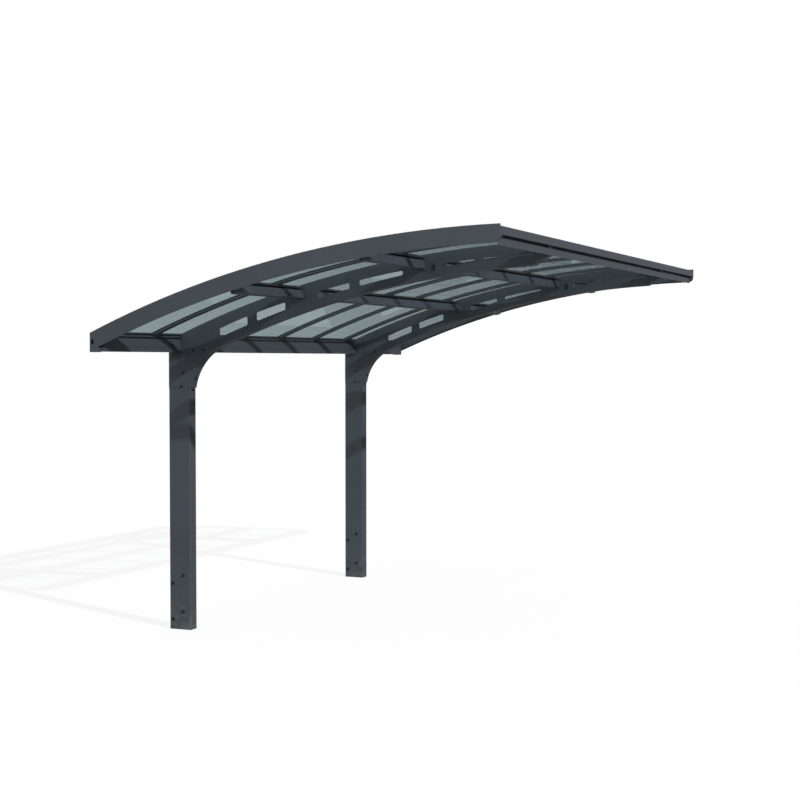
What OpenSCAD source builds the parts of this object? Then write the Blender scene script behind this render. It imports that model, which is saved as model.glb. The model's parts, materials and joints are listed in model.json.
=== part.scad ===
// Cantilever carport: two posts under the gutter side carry a curved knee and a slotted arm each,
// and the arms carry a shallow arched roof of clear sheets in curved glazing bars.
// Frame: +X from the low gutter side to the high front, +Y along the gutter, +Z up, in millimetres.
// The origin is on the ground, at the middle of the near post's foot.

/* [Roof] */
// Length of the roof along the gutter
roof_length = 4950; // [4600:10:5400]
// Depth of the roof, from the back of the gutter to the front profile
roof_depth = 2880; // [2700:10:3100]
// Radius of the arch, along the top edge of the side fascias
arch_radius = 7465; // [7000:5:8400]
// How far in front of the roof the highest point of the arch would lie
apex_ahead = 95; // [40:5:250]
// Height of the gutter's underside above the ground
clear_height = 1998; // [1900:1:2300]
// Height of the roof's back edge above the gutter's underside
back_edge = 124; // [118:1:140]

/* [Posts] */
// Distance between the middles of the two posts
post_spacing = 2906; // [2500:2:3300]
// Width of a post, square to the gutter
post_w = 172; // [150:1:200]
// Thickness of a post and its arm, along the gutter
post_t = 85; // [70:1:110]
// Wall of the post tube
post_wall = 3; // [2.5:0.5:5]
// Radius of the post's upright corners
post_corner = 5; // [4:0.5:10]
// How far the post stands out behind the roof's back edge
post_behind = 10; // [2:1:20]

/* [Arms] */
// Drop of the seam between post and arm below the gutter
seam_drop = 255; // [200:1:320]
// How far the arm's knee stands out in front of the post at the seam
knee_step = 2; // [1:1:20]
// Radius of the hollow curve of the knee
knee_radius = 380; // [300:5:450]
// Radius of the arm's underside
under_radius = 6908; // [6700:2:7100]
// How far in front of the roof the arm's underside would be level
under_ahead = 163; // [100:1:230]
// Depth of the arm's underside below the roof's top edge, at the front
tip_drop = 181; // [170:1:200]
// Setback of the arms' tips and the front rail's face behind the roof's front edge
tip_setback = 28; // [20:1:40]
// Slope of the cut under the arm's tip, in degrees
tip_slope = 30; // [25:1:40]
// Wall of the hollow arm
arm_wall = 4; // [3:0.5:6]
// Depth of the top of the slots below the roof's top edge
slot_drop = 109; // [104:1:116]
// Height that a slot would have at the roof's back edge
slot_h = 74; // [60:1:80]
// How much lower a slot would be at the roof's front edge
slot_taper = 70; // [50:1:71]
// Corner radius of the slots
slot_corner = 12; // [6:1:16]
// Width of the frame round the windows in the arm's far side
window_frame = 20; // [14:1:26]

/* [Sheets and glazing bars] */
// Depth of a side fascia
fascia_depth = 112; // [106:1:120]
// Width of a side fascia, across the roof
fascia_w = 36; // [32:1:44]
// Depth of the sheets' top face below the roof's top edge
sheet_drop = 26; // [24:1:32]
// Thickness of a roof sheet
sheet_t = 4; // [3:0.5:6]
// Width of a glazing bar
bar_w = 56; // [40:1:64]
// Depth of a glazing bar below the sheets
bar_depth = 13; // [10:1:18]
// Clearance at seats and joints
fit = 0.3; // [0.2:0.1:0.4]

/* [Gutter and purlins] */
// Width of the gutter, square to its length
gutter_w = 87; // [80:1:110]
// Wall of the gutter
gutter_wall = 3; // [2:0.5:4]
// Width of a purlin
purlin_w = 40; // [36:1:50]
// Height of a purlin's tube
purlin_h = 55; // [45:1:60]
// Depth of a purlin's underside below the roof's top edge
purlin_drop = 125; // [120:1:135]
// Wall of the purlins
purlin_wall = 2.5; // [2:0.5:4]
// Place of the first purlin's front face, from the roof's back edge
purlin_1_x = 1060; // [1040:1:1075]
// Place of the second purlin's front face, from the roof's back edge
purlin_2_x = 1980; // [1960:1:2000]
// Gap between a purlin's end and the arm, which the dark connector bridges
purlin_gap = 12; // [6:1:20]
// Height of the front rail
rail_h = 44; // [36:1:50]
// Wall of the front rail
rail_t = 3; // [2:0.5:5]
// Gap between the front profile and the front rail
rail_gap = 15; // [10:1:24]
// Depth of the front profile's top below the roof's top edge
profile_drop = 13; // [8:1:18]
// Height of the front profile
profile_h = 50; // [44:1:56]
// Depth of the front profile's channel
profile_w = 48; // [40:1:60]

/* [Hidden] */

coat = "#3d444b";
glazing = "#8d9a9d";
steel = "#9aa0a4";
moulding = "#1d2023";
big = 20000;
round_fn = 32;
slot_fn = 16;
arch_fn = 256;

// The roof frame has its corner at the roof's back edge, at the near end, on the ground
overhang = (roof_length - post_spacing) / 2;
post_mid = post_w / 2 - post_behind;
near_y = overhang;
far_y = overhang + post_spacing;

// The arch: its middle, and the height of the roof's top edge at any place
apex_x = roof_depth + apex_ahead;
arch_z = clear_height + back_edge - sqrt(pow(arch_radius, 2) - pow(apex_x, 2));
front_turn = asin(apex_ahead / arch_radius);
function roof_z(x, drop) = arch_z + sqrt(pow(arch_radius - drop, 2) - pow(apex_x - x, 2));
function lean(x) = asin((apex_x - x) / arch_radius);
// The place on the top edge that lies square above a point at some depth
function above(x, drop) = apex_x - (apex_x - x) * arch_radius / (arch_radius - drop);

// Levels below the roof's top edge
sheet_under = sheet_drop + sheet_t;
seat_drop = sheet_under + fit;
bar_under = seat_drop + bar_depth;
carrier_drop = bar_under + fit;

// The eight sheets and their seven bars share the width between the fascias
sheets = 8;
pitch = (roof_length - 2 * fascia_w) / sheets;
web_t = 8;
sheet_gap = 1;
cap_t = 6;
cap_w = bar_w - 8;
sheet_back = 30;
cap_back = sheet_back + 4;
lip_t = 3;
// The strip on a purlin that the bars rest on, and the tongue of a purlin's connector
bearing_t = 11;
cleat_tongue = 45;

// The rear rail is the gutter's inner wall. A neck far behind its face carries a strip above a shadow
// groove, and the sheets lie on a thin wall that stands on the strip.
rib_t = 2;
rib_h = 8;
rib_z = clear_height + 35;
rim_w = 34;
neck_w = 6;
neck_back = 26;
groove_h = 11;
strip_h = 12;
seal_h = 13;
seal_back = 11;
strip_z = roof_z(gutter_w, seat_drop) - seal_h - strip_h;
rim_z = strip_z - groove_h;
back_z = rim_z - 11;
neck_x = gutter_w - neck_back;

// The arm
seam_z = clear_height - seam_drop;
joint_z = clear_height - fit;
knee_x = post_w - post_behind + knee_step;
under_x = roof_depth + under_ahead;
under_z = roof_z(roof_depth, 0) - tip_drop - sqrt(pow(under_radius, 2) - pow(under_ahead, 2));
tip_x = roof_depth - tip_setback;
// Each slot's start and end in the arm's near side, as shares of the roof's depth
slot_plan = [[0.1438, 0.2215], [0.2469, 0.3257], [0.4139, 0.4972], [0.5233, 0.6351], [0.7326, 0.8125],
    [0.8354, 0.9531]];
slot_steps = 3;
function slot_under(x) = slot_drop + slot_h - slot_taper * x / roof_depth;
// The windows in the arm's far side leave it whole at the knee, at the purlins and at the tip
window_gap = 45;
window_round = 16;
windows = [[knee_x + 160, purlin_1_x - purlin_w - window_gap],
    [purlin_1_x + window_gap, purlin_2_x - purlin_w - window_gap],
    [purlin_2_x + window_gap, tip_x - window_gap]];

// The front profile, and the front rail below it with a fin set far back
profile_x = roof_depth - profile_w;
profile_top = roof_z(roof_depth, profile_drop);
profile_z = profile_top - profile_h;
rail_top = profile_z - rail_gap;
fin_w = 5;
fin_x = profile_x - 2 - fin_w;

// The foot anchor
anchor_h = 430;
anchor_plate = 10;
anchor_wall = 5;
anchor_hole_r = 7;
anchor_hole_pitch = 90;
splice_h = 300;

// ---------- shared shapes ----------

module roof_frame() translate([-post_mid, -near_y, 0]) children();

// A side outline, drawn as X and Z, given its thickness from one Y to another
module upright(y0, y1) translate([0, y1, 0]) rotate([90, 0, 0]) linear_extrude(y1 - y0) children();

// A disc about the arch's middle, turned so that its facets meet at the roof's front edge
module arch_disc(drop) translate([apex_x, arch_z]) rotate(front_turn)
    circle(r = arch_radius - drop, $fn = arch_fn);

// The stretch of the arch between two depths and two places
module arch_band(top, bottom, x0, x1) intersection() {
    difference() {
        arch_disc(top);
        arch_disc(bottom);
    }
    translate([x0, 0]) square([x1 - x0, big]);
}

// A profile, drawn as Y and radius, swept along the arch from one place to another
module swept(x0, x1) translate([apex_x, 0, arch_z]) rotate([90, 0, 0]) mirror([0, 0, 1])
    rotate_extrude(angle = lean(x0) - lean(x1), start = 90 + lean(x1), $fn = arch_fn)
        rotate(-90) mirror([1, 0]) children();

module rounded(w, t, r) {
    square([w - 2 * r, t], center = true);
    square([w, t - 2 * r], center = true);
    for (x = [-1, 1], y = [-1, 1]) translate([x * (w / 2 - r), y * (t / 2 - r)]) circle(r = r, $fn = round_fn);
}

module tube(w, t, r, wall) difference() {
    rounded(w, t, r);
    square([w - 2 * wall, t - 2 * wall], center = true);
}

module at_post(y) translate([post_mid, y, 0]) children();

// ---------- posts ----------

module post(y) color(coat) at_post(y) linear_extrude(seam_z - fit) tube(post_w, post_t, post_corner, post_wall);

module foot_anchor(y) color(steel) at_post(y) {
    w = post_w - 2 * (post_wall + fit);
    t = post_t - 2 * (post_wall + fit);
    difference() {
        translate([-w / 2, -t / 2, 0]) cube([w, t, anchor_plate]);
        for (x = [-1, 1]) translate([x * anchor_hole_pitch / 2, 0, -1])
            cylinder(r = anchor_hole_r, h = anchor_plate + 2, $fn = round_fn);
    }
    for (side = [0, 1]) translate([-w / 2, side * (t - anchor_wall) - t / 2, anchor_plate])
        cube([w, anchor_wall, anchor_h - anchor_plate]);
}

module splice(y) color(steel) at_post(y) translate([0, 0, seam_z - splice_h / 2]) linear_extrude(splice_h) {
    w = post_w - 2 * (max(post_wall, arm_wall) + fit);
    t = post_t - 2 * (max(post_wall, arm_wall) + fit);
    tube(w, t, 2, 4);
}

// ---------- arms ----------

// The open space under the arm, with the knee's hollow curve in its upper corner
module under_arm(inset) {
    r = knee_radius + inset;
    kx = knee_x + knee_radius;
    kz = under_z + sqrt(pow(under_radius - knee_radius, 2) - pow(under_x - kx, 2));
    reach = 2 * knee_radius;
    ux = (kx - under_x) / (under_radius - knee_radius);
    uz = (kz - under_z) / (under_radius - knee_radius);
    difference() {
        intersection() {
            translate([under_x, under_z]) rotate(front_turn) circle(r = under_radius + inset, $fn = arch_fn);
            translate([knee_x - inset, 0]) square(big);
        }
        difference() {
            polygon([[kx, kz], [kx + ux * reach, kz + uz * reach], [kx - reach, kz + reach], [kx - reach, kz]]);
            translate([kx, kz]) circle(r = r, $fn = arch_fn);
        }
    }
}

// The knee and the arm together, from the seam on the post to the tip
module arm_outline(inset) {
    back = gutter_w + rib_t + fit + inset;
    tip = tip_x - inset;
    corner_z = rail_top - rail_h;
    difference() {
        intersection() {
            arch_disc(seat_drop + inset);
            translate([inset - post_behind, seam_z]) square([tip + post_behind - inset, big]);
        }
        translate([profile_x - 1 - inset, profile_z - fit - inset]) square(big);
        translate([back - big, joint_z - inset]) square(big);
        under_arm(inset);
        translate([tip, corner_z + inset / cos(tip_slope)]) rotate(tip_slope) translate([-big / 2, -big]) square(big);
    }
}

// The part of an outline between two heights
module between(z0, z1) intersection() {
    children();
    translate([-big / 2, z0]) square([big, z1 - z0]);
}

// The knee is open below, where it takes the splice
module knee(y) color(coat) difference() {
    upright(y - post_t / 2, y + post_t / 2) between(seam_z, joint_z) arm_outline(0);
    upright(y - post_t / 2 + arm_wall, y + post_t / 2 - arm_wall) {
        between(seam_z, joint_z - arm_wall) arm_outline(arm_wall);
        translate([arm_wall - post_behind, seam_z - 1]) square([knee_x + post_behind - 2 * arm_wall, 2]);
    }
}

// An outline with its corners rounded
module round_corners(r) offset(r = r, $fn = slot_fn) offset(delta = -r) children();

// One slot, which follows the arch and grows lower towards the front
module slot(share) {
    x0 = share[0] * roof_depth;
    x1 = share[1] * roof_depth;
    xs = [for (k = [0:slot_steps]) x0 + k * (x1 - x0) / slot_steps];
    upper = [for (x = xs) [x, roof_z(x, slot_drop)]];
    lower = [for (k = [slot_steps:-1:0]) [xs[k], roof_z(xs[k], slot_under(xs[k]))]];
    round_corners(min(slot_corner, (slot_under(x1) - slot_drop) / 2 - 0.5)) polygon(concat(upper, lower));
}

// One window, which leaves a frame of even width above and below
module window(w) round_corners(window_round) intersection() {
    between(joint_z + window_frame, big) arm_outline(window_frame);
    translate([w[0], 0]) square([w[1] - w[0], big]);
}

// The arm is hollow, with slots in its near side and wider windows behind them in its far side
module arm(y) color(coat) difference() {
    near = y - post_t / 2;
    far = y + post_t / 2;
    upright(near, far) between(joint_z, big) arm_outline(0);
    upright(near + arm_wall, far - arm_wall) between(joint_z + arm_wall, big) arm_outline(arm_wall);
    upright(near - 1, near + arm_wall + 1) for (s = slot_plan) slot(s);
    upright(far - arm_wall - 1, far + 1) for (w = windows) window(w);
    bar_notches();
}

// ---------- gutter ----------

gutter_y0 = fascia_w + fit;
gutter_y1 = roof_length - fascia_w - fit;
trough_z = clear_height + gutter_wall;
lip_w = 10;

module gutter_floor() color(coat) upright(gutter_y0, gutter_y1) translate([0, clear_height]) square([gutter_w, gutter_wall]);

module gutter_back() color(coat) upright(gutter_y0, gutter_y1) {
    translate([0, trough_z]) square([gutter_wall, back_z - trough_z]);
    translate([0, back_z - gutter_wall]) square([lip_w, gutter_wall]);
}

// The plate that closes the trough's end
module gutter_cap(y) color(coat) upright(y, y + gutter_wall) offset(delta = -fit) polygon([
    [gutter_wall, trough_z], [gutter_w - gutter_wall, trough_z], [gutter_w - gutter_wall, rim_z - gutter_wall],
    [gutter_w - rim_w, rim_z - gutter_wall], [lip_w + gutter_wall, back_z - gutter_wall],
    [gutter_wall, back_z - gutter_wall]]);

// The gutter's inner wall with its rib, rim and strip, and the neck that the sheets lie on
module rear_rail() color(coat) difference() {
    x0 = gutter_w - seal_back;
    x1 = x0 + neck_w;
    upright(gutter_y0, gutter_y1) {
        translate([gutter_w - gutter_wall, trough_z]) square([gutter_wall, rim_z - trough_z]);
        translate([gutter_w - 1, rib_z]) square([rib_t + 1, rib_h]);
        translate([gutter_w - rim_w, rim_z - gutter_wall]) square([rim_w, gutter_wall]);
        translate([neck_x, rim_z - 1]) square([neck_w, groove_h + 2]);
        translate([neck_x, strip_z]) square([neck_back, strip_h]);
        polygon([[x0, strip_z + 1], [x1, strip_z + 1], [x1, roof_z(x1, seat_drop)], [x0, roof_z(x0, seat_drop)]]);
    }
    bar_notches();
}

// What lies above a depth of the arch, from one place on
module above_arch(x, drop) difference() {
    translate([x, 0]) square(big);
    arch_disc(drop);
}

// Room for the glazing bars, in a piece that they rest on
module bar_notches() for (k = [1:sheets - 1]) {
    y = fascia_w + k * pitch;
    upright(y - bar_w / 2 - fit, y + bar_w / 2 + fit) above_arch(0, carrier_drop);
}

// ---------- side fascias ----------

// The fascia's side outline between two depths, with its foot and its round front corner
module fascia_outline(top, bottom, inset) {
    corner = 45;
    z0 = clear_height - 4 + inset;
    foot_w = 65;
    difference() {
        union() {
            arch_band(top + inset, bottom - inset, inset, roof_depth - inset);
            intersection() {
                translate([inset, z0]) square([foot_w - 2 * inset, back_edge]);
                arch_disc(top + inset);
            }
        }
        // the round front corner
        translate([roof_depth - corner, roof_z(roof_depth - corner, bottom) + corner]) difference() {
            translate([0, -2 * corner]) square([2 * corner, 2 * corner]);
            circle(r = corner - inset, $fn = round_fn);
        }
    }
}

// A plate with a hollow box behind it, and a ledge that holds the outer sheet down
module fascia() color(coat) difference() {
    box_drop = fascia_depth - 8;
    union() {
        upright(0, lip_t) fascia_outline(0, fascia_depth, 0);
        upright(0, fascia_w) fascia_outline(seat_drop, box_drop, 0);
        upright(0, 22) arch_band(sheet_drop - fit - 4, sheet_drop - fit, 0, profile_x);
    }
    upright(lip_t, fascia_w - lip_t) fascia_outline(seat_drop, box_drop, lip_t);
    // the square drain hole at the foot
    translate([11, -1, clear_height + 50]) cube([19, lip_t + 2, 30]);
}

// ---------- purlins ----------

// A piece drawn square to the arch, with its front face at a place and its top at a depth
module square_to_arch(x) translate([apex_x, arch_z]) rotate(lean(x)) translate([0, arch_radius]) children();

// The purlin's tube inside, drawn smaller by a margin
module purlin_bore(margin) translate([margin - purlin_w, margin - purlin_drop])
    square([purlin_w - 2 * margin, purlin_h - 2 * margin]);

// A tube, with a neck near its back that carries the bars' strip and reaches up to the sheets
module purlin_outline(x) square_to_arch(x) {
    difference() {
        purlin_bore(0);
        purlin_bore(purlin_wall);
    }
    translate([-purlin_w, -carrier_drop - bearing_t]) square([purlin_w, bearing_t]);
    translate([3 - purlin_w, purlin_h - purlin_drop - 1])
        square([neck_w, purlin_drop - purlin_h - seat_drop + 0.5]);
}

module purlin(x, y0, y1) color(coat) difference() {
    upright(y0, y1) purlin_outline(x);
    bar_notches();
}

// Dark blocks between the arms and the purlins' ends, each with a long tongue in the purlin's tube
module purlin_cleats() color(moulding) for (x = [purlin_1_x, purlin_2_x], y = [near_y, far_y], side = [-1, 1]) {
    y0 = y + side * (post_t / 2 + fit);
    y1 = y0 + side * (purlin_gap + cleat_tongue);
    upright(min(y0, y1), max(y0, y1)) square_to_arch(x) purlin_bore(purlin_wall + fit);
}

// ---------- front ----------

// A front plate hangs from a flange, which a fin far behind the front profile holds under the bars
module front_rail(y0, y1) color(coat) upright(y0 + fit, y1 - fit) {
    fin_end = fin_x + fin_w;
    translate([tip_x - rail_t, rail_top - rail_h]) square([rail_t, rail_h]);
    translate([fin_x, rail_top - rail_t]) square([tip_x - fin_x, rail_t]);
    polygon([[fin_x, rail_top - 1], [fin_end, rail_top - 1], [fin_end, roof_z(fin_end, carrier_drop)],
        [fin_x, roof_z(fin_x, carrier_drop)]]);
}

// A channel that holds the front edges of the sheets and bars
module front_profile() color(coat) difference() {
    upright(lip_t + fit, roof_length - lip_t - fit) translate([profile_x, profile_z]) difference() {
        square([profile_w, profile_h]);
        translate([-1, lip_t]) square([profile_w + 1 - lip_t, profile_h - 2 * lip_t]);
    }
    // the ends stand on the side fascias
    for (y = [0, roof_length - fascia_w - fit]) upright(y, y + fascia_w + fit)
        arch_band(seat_drop - fit, fascia_depth, profile_x - 1, roof_depth + 1);
}

// ---------- roof ----------

module glazing_bar(k) color(coat) translate([0, fascia_w + k * pitch, 0]) {
    front = profile_x - 2;
    swept(above(neck_x, seat_drop), front) {
        translate([-bar_w / 2, arch_radius - bar_under]) square([bar_w, bar_depth]);
        translate([-web_t / 2, arch_radius - seat_drop - 1]) square([web_t, sheet_t + 3]);
    }
    swept(above(cap_back, sheet_drop), front) {
        translate([-cap_w / 2, arch_radius - sheet_drop + fit]) square([cap_w, cap_t]);
        translate([-web_t / 2, arch_radius - sheet_under]) square([web_t, sheet_t + 2]);
    }
}

module roof_panel(k) color(glazing) {
    edge = k == 1 ? lip_t + sheet_gap : fascia_w + (k - 1) * pitch + web_t / 2 + sheet_gap;
    far_edge = k == sheets ? roof_length - lip_t - sheet_gap : fascia_w + k * pitch - web_t / 2 - sheet_gap;
    upright(edge, far_edge) arch_band(sheet_drop, sheet_under, sheet_back, roof_depth - 6);
}

near_arm_y0 = near_y - post_t / 2;
near_arm_y1 = near_y + post_t / 2;
far_arm_y0 = far_y - post_t / 2;
far_arm_y1 = far_y + post_t / 2;
far_fascia_y = roof_length - fascia_w;

roof_frame() foot_anchor(near_y);  // foot_anchor_near
roof_frame() foot_anchor(far_y);  // foot_anchor_far
roof_frame() post(near_y);  // post_near
roof_frame() post(far_y);  // post_far
roof_frame() splice(near_y);  // splice_near
roof_frame() splice(far_y);  // splice_far
roof_frame() knee(near_y);  // knee_near
roof_frame() knee(far_y);  // knee_far
roof_frame() arm(near_y);  // arm_near
roof_frame() arm(far_y);  // arm_far
roof_frame() gutter_floor();
roof_frame() gutter_back();
roof_frame() gutter_cap(gutter_y0);  // gutter_cap_near
roof_frame() gutter_cap(gutter_y1 - gutter_wall);  // gutter_cap_far
roof_frame() rear_rail();
roof_frame() fascia();  // fascia_near
roof_frame() translate([0, roof_length, 0]) mirror([0, 1, 0]) fascia();  // fascia_far
roof_frame() purlin(purlin_1_x, fascia_w + fit, near_arm_y0 - purlin_gap);  // purlin_1_near
roof_frame() purlin(purlin_1_x, near_arm_y1 + purlin_gap, far_arm_y0 - purlin_gap);  // purlin_1_mid
roof_frame() purlin(purlin_1_x, far_arm_y1 + purlin_gap, far_fascia_y - fit);  // purlin_1_far
roof_frame() purlin(purlin_2_x, fascia_w + fit, near_arm_y0 - purlin_gap);  // purlin_2_near
roof_frame() purlin(purlin_2_x, near_arm_y1 + purlin_gap, far_arm_y0 - purlin_gap);  // purlin_2_mid
roof_frame() purlin(purlin_2_x, far_arm_y1 + purlin_gap, far_fascia_y - fit);  // purlin_2_far
roof_frame() purlin_cleats();
roof_frame() front_rail(fascia_w, near_arm_y0);  // front_rail_near
roof_frame() front_rail(near_arm_y1, far_arm_y0);  // front_rail_mid
roof_frame() front_rail(far_arm_y1, far_fascia_y);  // front_rail_far
roof_frame() front_profile();
roof_frame() glazing_bar(1);  // glazing_bar_1
roof_frame() glazing_bar(2);  // glazing_bar_2
roof_frame() glazing_bar(3);  // glazing_bar_3
roof_frame() glazing_bar(4);  // glazing_bar_4
roof_frame() glazing_bar(5);  // glazing_bar_5
roof_frame() glazing_bar(6);  // glazing_bar_6
roof_frame() glazing_bar(7);  // glazing_bar_7
roof_frame() roof_panel(1);  // roof_panel_1
roof_frame() roof_panel(2);  // roof_panel_2
roof_frame() roof_panel(3);  // roof_panel_3
roof_frame() roof_panel(4);  // roof_panel_4
roof_frame() roof_panel(5);  // roof_panel_5
roof_frame() roof_panel(6);  // roof_panel_6
roof_frame() roof_panel(7);  // roof_panel_7
roof_frame() roof_panel(8);  // roof_panel_8
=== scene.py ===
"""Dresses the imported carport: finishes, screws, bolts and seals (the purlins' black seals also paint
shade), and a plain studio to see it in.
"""
import json
import math

import bmesh
import bpy
from mathutils import Matrix, Vector


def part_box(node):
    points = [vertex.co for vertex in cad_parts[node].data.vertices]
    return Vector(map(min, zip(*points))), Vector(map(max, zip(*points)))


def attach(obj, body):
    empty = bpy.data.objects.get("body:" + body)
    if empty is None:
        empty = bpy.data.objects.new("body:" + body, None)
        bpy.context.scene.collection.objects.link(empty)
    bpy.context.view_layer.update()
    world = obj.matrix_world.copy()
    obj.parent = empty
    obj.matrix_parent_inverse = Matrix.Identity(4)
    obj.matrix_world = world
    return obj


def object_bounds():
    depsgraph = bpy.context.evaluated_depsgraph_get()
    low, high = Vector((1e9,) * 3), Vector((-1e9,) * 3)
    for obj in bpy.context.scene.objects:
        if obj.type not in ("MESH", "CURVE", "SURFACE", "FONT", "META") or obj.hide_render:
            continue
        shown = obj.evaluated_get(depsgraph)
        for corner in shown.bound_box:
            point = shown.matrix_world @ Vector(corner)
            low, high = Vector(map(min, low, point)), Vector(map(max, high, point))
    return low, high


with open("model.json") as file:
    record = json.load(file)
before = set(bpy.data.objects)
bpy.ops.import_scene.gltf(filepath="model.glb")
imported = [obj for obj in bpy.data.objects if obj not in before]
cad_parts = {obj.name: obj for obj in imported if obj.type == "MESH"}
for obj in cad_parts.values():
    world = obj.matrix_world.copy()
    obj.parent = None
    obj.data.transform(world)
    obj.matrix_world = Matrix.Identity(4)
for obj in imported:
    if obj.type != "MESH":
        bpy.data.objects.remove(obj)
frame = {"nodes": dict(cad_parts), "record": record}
cad_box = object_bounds()
nodes = frame["nodes"]

# ---------- places and sizes, in metres: first those that the frame gives ----------


def ends(node, axis):
    """Where a CAD node starts and ends along X, Y or Z, to a hundredth of a millimetre."""
    return [round(corner["XYZ".index(axis)], 5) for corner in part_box(node)]


def middle(node, axis):
    """The middle of a CAD node along X, Y or Z."""
    return sum(ends(node, axis)) / 2


ROOF_BACK, ROOF_FRONT = ends("fascia_near", "X")
NEAR_END, FASCIA_INSIDE = ends("fascia_near", "Y")
FAR_END = ends("fascia_far", "Y")[1]
FASCIA_W = FASCIA_INSIDE - NEAR_END
POSTS = (middle("post_near", "Y"), middle("post_far", "Y"))
POST_HALF_W = ends("post_near", "X")[1]             # the origin is in the middle of the near post
POST_HALF_T = ends("post_near", "Y")[1]
SEAM_Z = ends("knee_near", "Z")[0]                  # the joint between post and knee
GUTTER_WALL_X = ends("gutter_floor", "X")[1]        # the face of the gutter's inner wall
BARS = [middle(name, "Y") for name in sorted(nodes) if name.startswith("glazing_bar_")]
BAR_HALF_W = ends("glazing_bar_1", "Y")[1] - BARS[0]

# The rest: sizes that repeat part.scad's, and those of the added pieces
POST_CORNER = 0.005
ROOF_BACK_Z = 2.122         # the height of the roof's top edge at its back
APEX_X = ROOF_FRONT + 0.095     # where the arch would be highest
RADIUS = 7.465              # of the arch, along the side fascias' top edge
ARCH_Z = ROOF_BACK_Z - math.sqrt(RADIUS**2 - (APEX_X - ROOF_BACK) ** 2)
# A name that ends in TOP or UNDER is a depth below the roof's top edge, square to the arch
SHEET_TOP, SHEET_UNDER = 0.026, 0.030
CAP_TOP, CAP_HALF_W = 0.0197, 0.024
CAP_BACK, CAP_FRONT = -0.0405, 2.752    # the places where the caps' seals start and end
LEDGE_TOP = 0.0217          # the ledge on a side fascia that holds the outer sheet
LEDGE_SCREW_IN = 0.0135     # from the roof's end to the row of screws in that ledge
LEDGE_SCREW_BACK, LEDGE_SCREW_GAP = -0.03, 0.39
BAR_UNDER = 0.0433
STRIP_TOP, STRIP_UNDER = 0.0436, 0.0546     # the strips that the bars rest on
PURLINS = (ROOF_BACK + 1.060, ROOF_BACK + 1.980)    # the places of the purlins' front faces
TUBE_W, TUBE_TOP, TUBE_UNDER = 0.04, 0.070, 0.125    # the purlins' tubes
REAR_SEAL = 0.0065          # puts the rear seal 12 mm in front of the rear rail's thin wall
KNEE_FRONT = Vector((0.1108, 1.813))    # X and Z of a bolt in the knee's hollow curve
KNEE_OUT = (0.94, 0, -0.341)
SINK = 0.0002               # how deep a washer is let into what it lies on
# About the width of the bolts' hex heads, and the radius of the screws' heads
FOOT_BOLT, KNEE_BOLT, PURLIN_BOLT, GUTTER_BOLT = 0.017, 0.013, 0.016, 0.010
CAP_SCREW, LEDGE_SCREW, SMALL_SCREW = 0.0055, 0.0045, 0.004


def arch_lean(x):
    """How far the arch leans at place x, in radians."""
    return math.asin((APEX_X - x) / RADIUS)


def on_arch(x, y, drop, along=0.0):
    """A point at that depth square to the arch under place x, and then so far along the slope there."""
    lean = arch_lean(x)
    r = RADIUS - drop
    return Vector((APEX_X - r * math.sin(lean) + along * math.cos(lean), y,
                   ARCH_Z + r * math.cos(lean) + along * math.sin(lean)))


def arch_up(x):
    """The direction square out of the arch at place x."""
    lean = arch_lean(x)
    return Vector((-math.sin(lean), 0, math.cos(lean)))


# ---------- materials ----------


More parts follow.
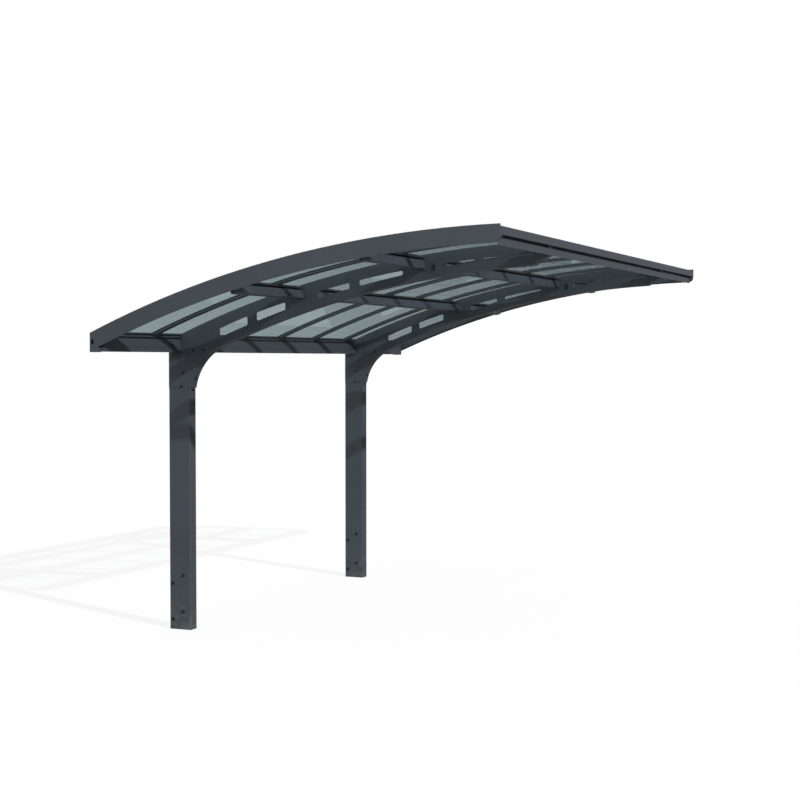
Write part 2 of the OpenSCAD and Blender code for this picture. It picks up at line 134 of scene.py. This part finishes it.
class Graph:
    """A small helper that adds and links shader nodes."""

    def __init__(self, name):
        self.material = bpy.data.materials.new(name)
        self.material.use_nodes = True
        self.tree = self.material.node_tree
        self.shader = self.tree.nodes["Principled BSDF"]
        self.output = self.tree.nodes["Material Output"]

    def add(self, kind, settings=None, **inputs):
        node = self.tree.nodes.new(kind)
        for key, value in (settings or {}).items():
            setattr(node, key, value)
        for key, value in inputs.items():
            self.put(node, key.replace("_", " "), value)
        return node

    def put(self, node, key, value):
        socket = node.inputs[key]
        if isinstance(value, bpy.types.NodeSocket):
            self.tree.links.new(value, socket)
        else:
            socket.default_value = value

    def set(self, **inputs):
        for key, value in inputs.items():
            self.put(self.shader, key.replace("_", " "), value)

    def where(self):
        return self.add("ShaderNodeTexCoord").outputs["Object"]

    def noise(self, scale, detail=4.0, roughness=0.55, at=None):
        node = self.add("ShaderNodeTexNoise", Scale=scale, Detail=detail, Roughness=roughness)
        self.put(node, "Vector", at or self.where())
        return node.outputs["Fac"]

    def stretched(self, x, y, z):
        node = self.add("ShaderNodeMapping", Vector=self.where())
        node.inputs["Scale"].default_value = (x, y, z)
        return node.outputs["Vector"]

    def ramp(self, fac, *stops):
        node = self.add("ShaderNodeValToRGB", Fac=fac)
        ramp = node.color_ramp
        while len(ramp.elements) < len(stops):
            ramp.elements.new(0.5)
        for element, (place, colour) in zip(ramp.elements, stops):
            element.position = place
            element.color = colour if len(colour) == 4 else (*colour, 1)
        return node.outputs["Color"]

    def range(self, value, low, high, to_low, to_high):
        node = self.add("ShaderNodeMapRange")
        for key, number in zip(("Value", "From Min", "From Max", "To Min", "To Max"),
                               (value, low, high, to_low, to_high)):
            self.put(node, key, number)
        return node.outputs["Result"]

    def math(self, operation, a, b=0.5):
        node = self.add("ShaderNodeMath", {"operation": operation})
        self.put(node, 0, a)
        self.put(node, 1, b)
        return node.outputs["Value"]

    def mix(self, fac, a, b):
        node = self.add("ShaderNodeMix", {"data_type": "RGBA"})
        self.put(node, 0, fac)
        self.put(node, 6, a if isinstance(a, bpy.types.NodeSocket) else (*a, 1))
        self.put(node, 7, b if isinstance(b, bpy.types.NodeSocket) else (*b, 1))
        return node.outputs[2]

    def bump(self, height, strength, distance, normal=None):
        node = self.add("ShaderNodeBump", Height=height, Strength=strength, Distance=distance)
        if normal:
            self.put(node, "Normal", normal)
        return node.outputs["Normal"]

    def edges(self, radius):
        """(normal with rounded edges, how near an edge a point is from 0 to 1)"""
        bevel = self.add("ShaderNodeBevel", {"samples": 4}, Radius=radius)
        flat = self.add("ShaderNodeNewGeometry").outputs["Normal"]
        dot = self.add("ShaderNodeVectorMath", {"operation": "DOT_PRODUCT"})
        self.put(dot, 0, bevel.outputs["Normal"])
        self.put(dot, 1, flat)
        return bevel.outputs["Normal"], self.range(dot.outputs["Value"], 1.0, 0.86, 0.0, 1.0)

    def facing_up(self):
        normal = self.add("ShaderNodeNewGeometry").outputs["Normal"]
        split = self.add("ShaderNodeSeparateXYZ", Vector=normal)
        return self.range(split.outputs["Z"], 0.3, 1.0, 0.0, 1.0)


def coated(name, colour, worn, dusty, gloss):
    """Powder coat on aluminium: orange-peel grain, cloudy tone, rubbed edges, dust on top and at the foot."""
    g = Graph(name)
    rounded, edge = g.edges(0.0012)
    cloud = g.noise(2.3, 5.0)
    speck = g.noise(900.0, 2.0)
    tone = g.ramp(cloud, (0.3, [c * 0.90 for c in colour]), (0.7, [c * 1.09 for c in colour]))
    tone = g.mix(g.range(speck, 0.35, 0.65, 0.0, 0.22), tone, [c * 1.35 for c in colour])
    scuffs = g.range(g.noise(34.0, 6.0, 0.7), 0.46, 0.66, 0.0, 1.0)
    tone = g.mix(g.math("MULTIPLY", g.math("MULTIPLY", edge, scuffs), 0.55), tone, worn)
    height = g.add("ShaderNodeSeparateXYZ", Vector=g.where()).outputs["Z"]
    near_ground = g.range(height, 0.32, 0.0, 0.0, 0.5)
    splash = g.math("MULTIPLY", near_ground, g.range(g.noise(21.0, 6.0), 0.42, 0.66, 0.0, 1.0))
    settled = g.math("MULTIPLY", g.facing_up(), g.range(g.noise(6.5, 6.0), 0.35, 0.75, 0.08, 0.42))
    dust = g.math("MAXIMUM", splash, settled)
    tone = g.mix(dust, tone, dusty)
    rough = g.range(cloud, 0.3, 0.7, gloss - 0.04, gloss + 0.05)
    rough = g.math("ADD", rough, g.math("MULTIPLY", dust, 0.3))
    g.set(Base_Color=tone, Roughness=rough, Normal=g.bump(speck, 0.16, 0.0004, rounded))
    g.shader.inputs["Specular IOR Level"].default_value = 0.28
    return g.material


def moulded(name, colour, gloss):
    """Moulded plastic with a fine spark-eroded texture."""
    g = Graph(name)
    rounded, edge = g.edges(0.0008)
    grain = g.noise(1400.0, 3.0)
    tone = g.ramp(g.noise(9.0, 4.0), (0.3, [c * 0.9 for c in colour]), (0.7, [c * 1.1 for c in colour]))
    tone = g.mix(g.math("MULTIPLY", edge, 0.35), tone, [c * 1.8 for c in colour])
    g.set(Base_Color=tone, Roughness=g.range(grain, 0.3, 0.7, gloss - 0.06, gloss + 0.08),
          Normal=g.bump(grain, 0.25, 0.0003, rounded))
    return g.material


def galvanised(name):
    """Hot-dip galvanised steel: crystal spangle in greys, dulled patches."""
    g = Graph(name)
    rounded, edge = g.edges(0.001)
    crystals = g.add("ShaderNodeTexVoronoi", Vector=g.where(), Scale=95.0, Randomness=1.0)
    shade = g.add("ShaderNodeSeparateColor", Color=crystals.outputs["Color"]).outputs[0]
    tone = g.ramp(shade, (0.0, (0.36, 0.375, 0.385)), (1.0, (0.56, 0.575, 0.585)))
    tone = g.mix(g.range(g.noise(7.0, 5.0), 0.4, 0.7, 0.0, 0.6), tone, (0.45, 0.45, 0.44))
    tone = g.mix(g.math("MULTIPLY", edge, 0.4), tone, (0.68, 0.69, 0.7))
    g.set(Base_Color=tone, Roughness=g.range(shade, 0.0, 1.0, 0.34, 0.5),
          Normal=g.bump(shade, 0.08, 0.0003, rounded))
    g.shader.inputs["Metallic"].default_value = 0.85
    return g.material


def stainless(name, colour, gloss):
    """Turned or pressed metal of a screw or bolt: fine rings, a little tarnish."""
    g = Graph(name)
    grain = g.noise(700.0, 3.0)
    tone = g.ramp(g.noise(60.0, 4.0), (0.3, [c * 0.82 for c in colour]), (0.7, [c * 1.12 for c in colour]))
    g.set(Base_Color=tone, Roughness=g.range(grain, 0.3, 0.7, gloss - 0.07, gloss + 0.1),
          Normal=g.bump(grain, 0.12, 0.0002))
    g.shader.inputs["Metallic"].default_value = 0.9
    return g.material


def rubber(name):
    """Extruded black seal with a bloom of dust."""
    g = Graph(name)
    grain = g.noise(600.0, 3.0)
    bloom = g.range(g.noise(14.0, 6.0), 0.42, 0.7, 0.0, 0.5)
    g.set(Base_Color=g.mix(bloom, (0.012, 0.013, 0.014), (0.05, 0.05, 0.048)),
          Roughness=g.range(grain, 0.3, 0.7, 0.6, 0.78), Normal=g.bump(grain, 0.2, 0.0003))
    return g.material


def clear_sheet(name):
    """Grey-tinted polycarbonate: clear, with faint run-off streaks down the slope and dust."""
    g = Graph(name)
    streaks = g.noise(2.0, 5.0, 0.55, g.stretched(0.4, 9.0, 0.4))
    film = g.noise(1.6, 5.0, 0.6)
    dust = g.math("MULTIPLY", g.range(streaks, 0.42, 0.75, 0.0, 1.0), g.range(film, 0.35, 0.7, 0.2, 1.0))
    tone = g.mix(g.math("MULTIPLY", dust, 0.45), SHEET_TINT, SHEET_DUST)
    g.set(Base_Color=tone, Roughness=g.range(dust, 0.0, 1.0, 0.02, 0.08),
          Normal=g.bump(g.noise(1.3, 2.0), 0.04, 0.003))
    g.shader.inputs["Transmission Weight"].default_value = 1.0
    g.shader.inputs["IOR"].default_value = 1.09
    # Light shines through the sheets, dimmed once, which glass alone would not let it do
    through = g.add("ShaderNodeBsdfTransparent", Color=(0.84, 0.87, 0.87, 1))
    path = g.add("ShaderNodeLightPath")
    blend = g.add("ShaderNodeMixShader")
    g.put(blend, 0, g.math("MAXIMUM", path.outputs["Is Shadow Ray"], path.outputs["Is Diffuse Ray"]))
    g.put(blend, 1, g.shader.outputs["BSDF"])
    g.put(blend, 2, through.outputs["BSDF"])
    g.put(g.output, "Surface", blend.outputs["Shader"])
    return g.material


COAT = (0.060, 0.073, 0.088)
SHEET_TINT = (0.292, 0.368, 0.386)
SHEET_DUST = (0.35, 0.408, 0.42)

finish = {
    "powder_coat": coated("powder_coat", COAT, (0.19, 0.2, 0.21), (0.17, 0.165, 0.155), 0.42),
    "plastic_cap": moulded("plastic_cap", [c * 0.9 for c in COAT], 0.5),
    "galvanised_steel": galvanised("galvanised_steel"),
    "clear_sheet": clear_sheet("clear_sheet"),
}
bolt_finish = stainless("dark_bolt", (0.034, 0.039, 0.046), 0.54)
screw_finish = stainless("steel_screw", (0.42, 0.43, 0.44), 0.3)
seal_finish = rubber("rubber_seal")

slot_of = {part["node"]: part["material_slot"] for part in frame["record"]["subparts"]}
for name, node in nodes.items():
    node.data.materials.clear()
    node.data.materials.append(finish[slot_of[name]])


# ---------- pieces ----------


def piece(name, bm, material, smooth=True):
    """Makes an object of a mesh, on the carport's one body."""
    mesh = bpy.data.meshes.new(name)
    bm.to_mesh(mesh)
    bm.free()
    for polygon in mesh.polygons:
        polygon.use_smooth = smooth
    mesh.materials.append(material)
    thing = bpy.data.objects.new(name, mesh)
    bpy.context.scene.collection.objects.link(thing)
    if smooth:
        mesh.set_sharp_from_angle(angle=math.radians(32))
    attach(thing, "root")
    return thing


def walls(bm, rings):
    """The faces between each ring of points and the next."""
    count = len(rings[0])
    for low, high in zip(rings, rings[1:]):
        for i in range(count):
            j = (i + 1) % count
            bm.faces.new((low[i], low[j], high[j], high[i]))


def turned(bm, place, out, profile, sides, spin=0.0):
    """A turned shape: a profile of (radius, height) pairs about an axis that points out of a surface."""
    turn = Vector((0, 0, 1)).rotation_difference(Vector(out)).to_matrix().to_4x4()
    matrix = Matrix.Translation(place) @ turn @ Matrix.Rotation(spin, 4, "Z")
    rings = []
    for radius, height in profile:
        ring = []
        for i in range(sides):
            angle = 2 * math.pi * i / sides
            point = Vector((radius * math.cos(angle), radius * math.sin(angle), height))
            ring.append(bm.verts.new(matrix @ point))
        rings.append(ring)
    walls(bm, rings)
    bm.faces.new(rings[-1])
    bm.faces.new(list(reversed(rings[0])))


def hex_bolt(bm, place, out, across):
    """A flanged hex head on a washer, with a shallow dish in the head."""
    r = across / 2
    turned(bm, place, out, [(r * 1.42, -SINK), (r * 1.42, 0.0016), (r * 1.36, 0.0021)], 32)
    turned(bm, place, out, [(r * 1.2, 0.002), (r * 1.2, 0.003), (r * 1.04, 0.0042)], 32)
    turned(bm, place, out, [(r * 1.1, 0.0038), (r * 1.1, 0.0088), (r * 0.98, 0.0098), (r * 0.72, 0.0098),
                            (r * 0.66, 0.0091)], 6, 0.3)


def pan_screw(bm, place, out, radius):
    """A domed screw head with a dish in it, on a sealing washer."""
    turned(bm, place, out, [(radius * 1.5, -SINK), (radius * 1.5, 0.001), (radius * 1.38, 0.0015)], 20)
    turned(bm, place, out, [(radius, 0.0013), (radius * 0.97, 0.0026), (radius * 0.8, 0.0038),
                            (radius * 0.5, 0.0045), (radius * 0.4, 0.0046), (radius * 0.34, 0.0033)], 20)


def strip(bm, y0, y1, drop0, drop1, x0, x1):
    """A strip along the arch, with a rectangular section between two depths."""
    steps = 48
    rings = []
    for i in range(steps + 1):
        x = x0 + (x1 - x0) * i / steps
        corners = ((y0, drop0), (y1, drop0), (y1, drop1), (y0, drop1))
        rings.append([bm.verts.new(on_arch(x, y, drop)) for y, drop in corners])
    for low, high in zip(rings, rings[1:]):
        for i in range(4):
            j = (i + 1) % 4
            bm.faces.new((low[i], high[i], high[j], low[j]))
    bm.faces.new(rings[0])
    bm.faces.new(list(reversed(rings[-1])))


def near_and_far():
    """The two posts' labels with their places along the gutter."""
    return zip(("near", "far"), POSTS)


def foot_bolts():
    """Four bolts through the foot of each post, which hold it on the anchor inside."""
    for label, y in near_and_far():
        bm = bmesh.new()
        for x, z in ((-0.0594, 0.072), (-0.0594, 0.332), (0.0276, 0.131), (0.0276, 0.392)):
            for side in (-1, 1):
                hex_bolt(bm, (x, y + side * POST_HALF_T, z), (0, side, 0), FOOT_BOLT)
        piece(f"foot_bolts_{label}", bm, bolt_finish)


def knee_bolts():
    """Bolts on both flanks of the knee and the arm's root, and one each on the fronts of knee and post."""
    flank = ((0.019, 1.752), (0.032, 1.851), (0.115, 2.013), (0.204, 2.015))
    for label, y in near_and_far():
        bm = bmesh.new()
        for x, z in flank:
            for side in (-1, 1):
                hex_bolt(bm, (x, y + side * POST_HALF_T, z), (0, side, 0), KNEE_BOLT)
        hex_bolt(bm, (POST_HALF_W, y, SEAM_Z - 0.015), (1, 0, 0), KNEE_BOLT)
        hex_bolt(bm, (KNEE_FRONT.x, y, KNEE_FRONT.y), KNEE_OUT, KNEE_BOLT)
        piece(f"knee_bolts_{label}", bm, bolt_finish)


def joint_beads():
    """A thin dark bead round each post, in the joint under the knee."""
    for label, y in near_and_far():
        bm = bmesh.new()
        rings = []
        for proud, z in ((-0.0004, -0.0014), (0.0004, -0.0009), (0.0005, 0.0), (0.0004, 0.0009),
                         (-0.0004, 0.0014)):
            ring = []
            for cx, cy, turn in ((1, 1, 0), (-1, 1, 90), (-1, -1, 180), (1, -1, 270)):
                for step in range(5):
                    angle = math.radians(turn + step * 22.5)
                    x = cx * (POST_HALF_W - POST_CORNER) + (POST_CORNER + proud) * math.cos(angle)
                    across = cy * (POST_HALF_T - POST_CORNER) + (POST_CORNER + proud) * math.sin(angle)
                    # The bead stays under the post's back face, which is as far back as the carport reaches
                    ring.append(bm.verts.new((max(x, 0.0002 - POST_HALF_W), y + across, SEAM_Z + z)))
            rings.append(ring)
        walls(bm, rings)
        piece(f"joint_bead_{label}", bm, seal_finish)


def purlin_bolts():
    """A pair of bolts in each arm's near side, just in front of the second purlin's connector."""
    pairs = ((1.9805, 2.5730), (1.9805, 2.5480))
    for label, y in near_and_far():
        bm = bmesh.new()
        for x, z in pairs:
            hex_bolt(bm, (x, y - POST_HALF_T, z), (0, -1, 0), PURLIN_BOLT)
        piece(f"purlin_bolts_{label}", bm, bolt_finish)


def bay_edges(clear):
    """The stretches along the gutter between fascias and bars, kept clear of them."""
    starts = [NEAR_END + FASCIA_W] + [y + clear for y in BARS]
    stops = [y - clear for y in BARS] + [FAR_END - FASCIA_W]
    return list(zip(starts, stops))


def lipped_seal(bm, place, y0, y1, back, front, top, bottom):
    """A seal along the roof, with a hollow between two lips in front, square to the arch."""
    waist = (top + bottom) / 2
    hollow = 0.0011
    section = ((back, bottom), (front, bottom), (front, bottom - 0.0032), (front - hollow, waist),
               (front, top + 0.0032), (front - 0.0006, top), (back, top))
    rings = []
    for y in (y0, y1):
        rings.append([bm.verts.new(on_arch(place, y, drop, along)) for along, drop in section])
    walls(bm, rings)
    bm.faces.new(list(reversed(rings[0])))
    bm.faces.new(rings[1])


def sheet_seals_and_painted_shade():
    """Black seals: under the sheets by the rear rail, and on the necks and the strips of the purlins. Those
    on the purlins are partly real seals and partly painted shade: their black stands in for the shade in the
    gap under the sheets and on the strips' fronts.
    """
    past_bar = BAR_HALF_W + 0.0005
    past_arm = POST_HALF_T + 0.0125
    end_gap = 0.0006
    shortest = 0.005
    top = SHEET_UNDER + 0.0001
    bm = bmesh.new()
    for y0, y1 in bay_edges(past_bar):
        lipped_seal(bm, REAR_SEAL, y0 + end_gap, y1 - end_gap, -0.0002, 0.0040, top, SHEET_UNDER + 0.0122)
    piece("seal_rear_rail", bm, seal_finish, smooth=False)
    for number, place in enumerate(PURLINS, 1):
        bm = bmesh.new()
        for y0, y1 in bay_edges(past_bar):
            lengths = [(y0, y1)]
            for post in POSTS:
                lengths = [part for a, b in lengths for part in
                           ((a, min(b, post - past_arm)), (max(a, post + past_arm), b))
                           if part[1] - part[0] > shortest]
            for a, b in lengths:
                seal = (a + end_gap, b - end_gap)
                # Black on the neck and over the strip's front: partly a seal, partly painted shade of the gap
                # under the sheets
                lipped_seal(bm, place, *seal, -0.0311, -0.0285, top, STRIP_TOP + 0.0002)
                lipped_seal(bm, place, *seal, -0.0002, 0.0016, STRIP_TOP - 0.0010, STRIP_UNDER + 0.0006)
        piece(f"seal_and_painted_shade_purlin_{number}", bm, seal_finish, smooth=False)


def cap_seals():
    """The black lip along both sides of each glazing bar's cap, where it presses on the sheets."""
    for number, y in enumerate(BARS, 1):
        bm = bmesh.new()
        for side in (-1, 1):
            near, far = sorted((y + side * (CAP_HALF_W - 0.0002), y + side * (CAP_HALF_W + 0.0016)))
            strip(bm, near, far, SHEET_TOP - 0.0022, SHEET_TOP - 0.00005, CAP_BACK, CAP_FRONT)
        piece(f"cap_seals_{number}", bm, seal_finish)


def roof_screws():
    """Screws down the middle of each cap, and along the ledges that hold the outer sheets down."""
    inset = 0.06
    for number, y in enumerate(BARS, 1):
        bm = bmesh.new()
        for k in range(8):
            x = CAP_BACK + inset + k * (CAP_FRONT - CAP_BACK - 2 * inset) / 7
            pan_screw(bm, on_arch(x, y, CAP_TOP), arch_up(x), CAP_SCREW)
        piece(f"cap_screws_{number}", bm, screw_finish)
    for label, y in (("near", NEAR_END + LEDGE_SCREW_IN), ("far", FAR_END - LEDGE_SCREW_IN)):
        bm = bmesh.new()
        for k in range(8):
            x = LEDGE_SCREW_BACK + k * LEDGE_SCREW_GAP
            pan_screw(bm, on_arch(x, y, LEDGE_TOP), arch_up(x), LEDGE_SCREW)
        piece(f"ledge_screws_{label}", bm, screw_finish)


def bar_screws():
    """Self-drilling screws in the bars' undersides, on both sides of each purlin's strip."""
    for number, place in enumerate(PURLINS, 1):
        bm = bmesh.new()
        for y in BARS:
            for side in (-1, 1):
                at = place + side * 0.036 - TUBE_W / 2
                pan_screw(bm, on_arch(at, y, BAR_UNDER), -arch_up(at), SMALL_SCREW)
        piece(f"bar_screws_{number}", bm, bolt_finish)


def end_plugs():
    """Moulded plugs that close the purlins' tubes at the side fascias."""
    gap = FASCIA_W + 0.0004
    for label, y, into in (("near", NEAR_END + gap, 1), ("far", FAR_END - gap, -1)):
        bm = bmesh.new()
        for place in PURLINS:
            rings = []
            for inset, depth in ((0.0030, 0.0), (0.0027, 0.0007), (0.0027, 0.012)):
                corners = ((-TUBE_W + inset, TUBE_TOP + inset), (-inset, TUBE_TOP + inset),
                           (-inset, TUBE_UNDER - inset), (-TUBE_W + inset, TUBE_UNDER - inset))
                rings.append([bm.verts.new(on_arch(place, y + into * depth, drop, along))
                              for along, drop in corners])
            walls(bm, rings)
            bm.faces.new(rings[0])
            bm.faces.new(rings[-1])
        bmesh.ops.recalc_face_normals(bm, faces=bm.faces)
        piece(f"purlin_plugs_{label}", bm, finish["plastic_cap"], smooth=False)


def gutter_screws():
    """Screws on the gutter's end plates, and a bolt on its inner wall on each side of each arm."""
    bm = bmesh.new()
    plate = FASCIA_W + 0.0033
    for y, out in ((NEAR_END + plate, 1), (FAR_END - plate, -1)):
        for x, z in ((-0.062, 2.020), (-0.003, 2.020), (-0.003, 2.066)):
            pan_screw(bm, (x, y, z), (0, out, 0), SMALL_SCREW)
    for post in POSTS:
        for side in (-1, 1):
            hex_bolt(bm, (GUTTER_WALL_X, post + side * 0.147, 2.0485), (1, 0, 0), GUTTER_BOLT)
    piece("gutter_screws", bm, bolt_finish)


foot_bolts()
knee_bolts()
joint_beads()
purlin_bolts()
sheet_seals_and_painted_shade()
cap_seals()
roof_screws()
bar_screws()
end_plugs()
gutter_screws()

# ---------- studio ----------


def studio():
    """A pale floor that is white out of shade, a white surround, a sharp key lamp and a weak, soft fill."""
    g = Graph("studio_floor")
    g.set(Base_Color=(0.22, 0.22, 0.22, 1), Roughness=0.9)
    g.shader.inputs["Specular IOR Level"].default_value = 0.0
    glow = g.add("ShaderNodeEmission", Color=(1, 1, 1, 1), Strength=0.84)
    path = g.add("ShaderNodeLightPath")
    seen = g.math("MAXIMUM", path.outputs["Is Camera Ray"], path.outputs["Is Transmission Ray"])
    bounce = g.add("ShaderNodeEmission", Color=(1, 1, 1, 1), Strength=0.05)
    switch = g.add("ShaderNodeMixShader")
    g.put(switch, 0, seen)
    g.put(switch, 1, bounce.outputs["Emission"])
    g.put(switch, 2, glow.outputs["Emission"])
    total = g.add("ShaderNodeAddShader")
    g.put(total, 0, g.shader.outputs["BSDF"])
    g.put(total, 1, switch.outputs["Shader"])
    g.put(g.output, "Surface", total.outputs["Shader"])
    bm = bmesh.new()
    bmesh.ops.create_circle(bm, cap_ends=True, segments=96, radius=140.0)
    mesh = bpy.data.meshes.new("studio_floor")
    bm.to_mesh(mesh)
    bm.free()
    mesh.materials.append(g.material)
    floor = bpy.data.objects.new("studio_floor", mesh)
    floor.location = (0, 0, cad_box[0][2])
    bpy.context.scene.collection.objects.link(floor)

    world = bpy.data.worlds.new("studio")
    world.use_nodes = True
    bpy.context.scene.world = world
    tree = world.node_tree
    background = tree.nodes["Background"]
    path = tree.nodes.new("ShaderNodeLightPath")
    white = tree.nodes.new("ShaderNodeBackground")
    white.inputs["Strength"].default_value = 1.0
    background.inputs["Strength"].default_value = 0.31
    background.inputs["Color"].default_value = (1, 1, 1, 1)
    white.inputs["Color"].default_value = (1, 1, 1, 1)
    either = tree.nodes.new("ShaderNodeMath")
    either.operation = "MAXIMUM"
    tree.links.new(path.outputs["Is Camera Ray"], either.inputs[0])
    tree.links.new(path.outputs["Is Transmission Ray"], either.inputs[1])
    switch = tree.nodes.new("ShaderNodeMixShader")
    tree.links.new(either.outputs["Value"], switch.inputs[0])
    tree.links.new(background.outputs["Background"], switch.inputs[1])
    tree.links.new(white.outputs["Background"], switch.inputs[2])
    tree.links.new(switch.outputs["Shader"], tree.nodes["World Output"].inputs["Surface"])

    # The key comes over the roof's front edge, a little from the near end, the fill from beside the camera
    lamps = (("key", 2.45, 0.8, (-0.93, 0.404, -0.509)), ("fill", 0.92, 44.0, (0.04, 0.98, -0.18)))
    for name, energy, spread, shines in lamps:
        sun = bpy.data.lights.new(name, "SUN")
        sun.energy = energy
        sun.angle = math.radians(spread)
        lamp = bpy.data.objects.new(name, sun)
        lamp.rotation_mode = "QUATERNION"
        lamp.rotation_quaternion = Vector(shines).to_track_quat("-Z", "Y")
        bpy.context.scene.collection.objects.link(lamp)


def photo_camera():
    """The camera at the photograph's place: 1.94 m up, off the near end's front corner."""
    data = bpy.data.cameras.new("photo_view")
    data.sensor_width = 36.0
    data.lens = 68.77
    data.shift_x = -0.00495
    data.shift_y = 0.01556
    data.clip_end = 500.0
    camera = bpy.data.objects.new("photo_view", data)
    camera.location = (5.8781, -9.445, 1.9382)
    camera.rotation_euler = (math.pi / 2 - 0.0339, 0, 0.4127)
    bpy.context.scene.collection.objects.link(camera)
    bpy.context.scene.camera = camera


studio()
photo_camera()

bpy.context.scene.view_settings.view_transform = "Standard"
